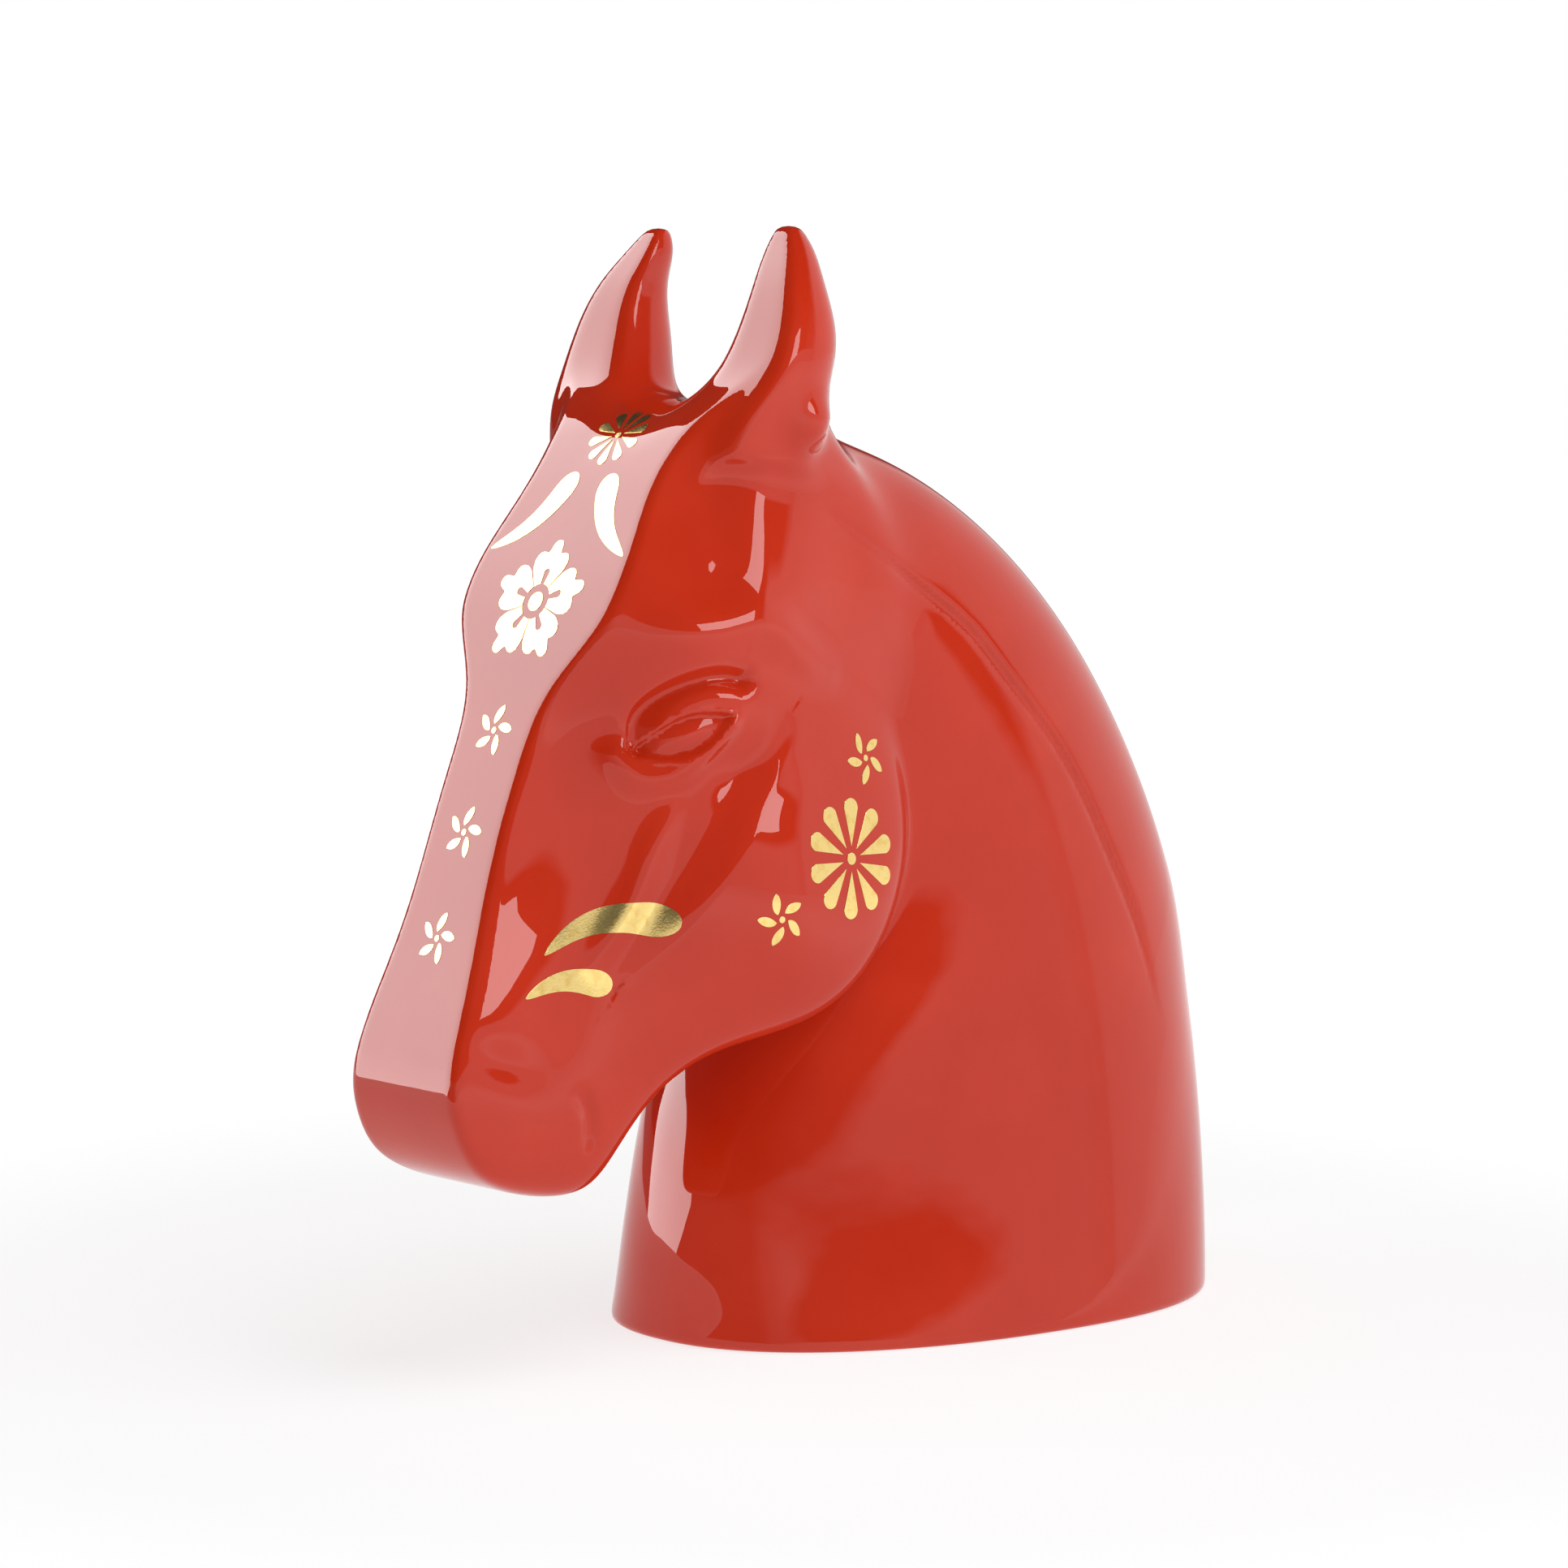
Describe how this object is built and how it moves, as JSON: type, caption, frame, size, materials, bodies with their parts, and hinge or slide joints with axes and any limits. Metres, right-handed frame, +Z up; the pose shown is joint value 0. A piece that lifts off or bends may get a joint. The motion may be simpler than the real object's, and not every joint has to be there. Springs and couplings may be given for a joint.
{
  "type": "horse head bust figurine",
  "caption": "Glossy glazed ceramic horse-head bust standing on its cut neck, with pricked ears and gold flower and stroke transfers on face and cheeks.",
  "frame": {"origin": "on the floor, under the middle of the bust's bounding box", "axes": "+Z up; the horse faces -Y; its left side is +X"},
  "size_m": [0.1316, 0.268, 0.2981],
  "materials": {
    "red_glaze": "high-gloss transparent red glaze over white body",
    "bisque": "unglazed fired body, matt",
    "gold_lustre": "fired bright gold lustre, mirror-like"
  },
  "bodies": {
    "root": {"neck_casting": "red_glaze", "head_casting": "red_glaze", "ear_left": "red_glaze", "ear_right": "red_glaze", "base_plate": "bisque", "crown_daisy": "gold_lustre", "forehead_blossom": "gold_lustre", "bridge_pinwheel_1": "gold_lustre", "bridge_pinwheel_2": "gold_lustre", "bridge_pinwheel_3": "gold_lustre", "brow_stroke_left": "gold_lustre", "cheek_daisy_left": "gold_lustre", "cheek_pinwheel_upper_left": "gold_lustre", "cheek_pinwheel_lower_left": "gold_lustre", "cheek_stroke_upper_left": "gold_lustre", "cheek_stroke_lower_left": "gold_lustre", "brow_stroke_right": "gold_lustre", "cheek_daisy_right": "gold_lustre", "cheek_pinwheel_upper_right": "gold_lustre", "cheek_pinwheel_lower_right": "gold_lustre", "cheek_stroke_upper_right": "gold_lustre", "cheek_stroke_lower_right": "gold_lustre"}
  },
  "joints": []
}
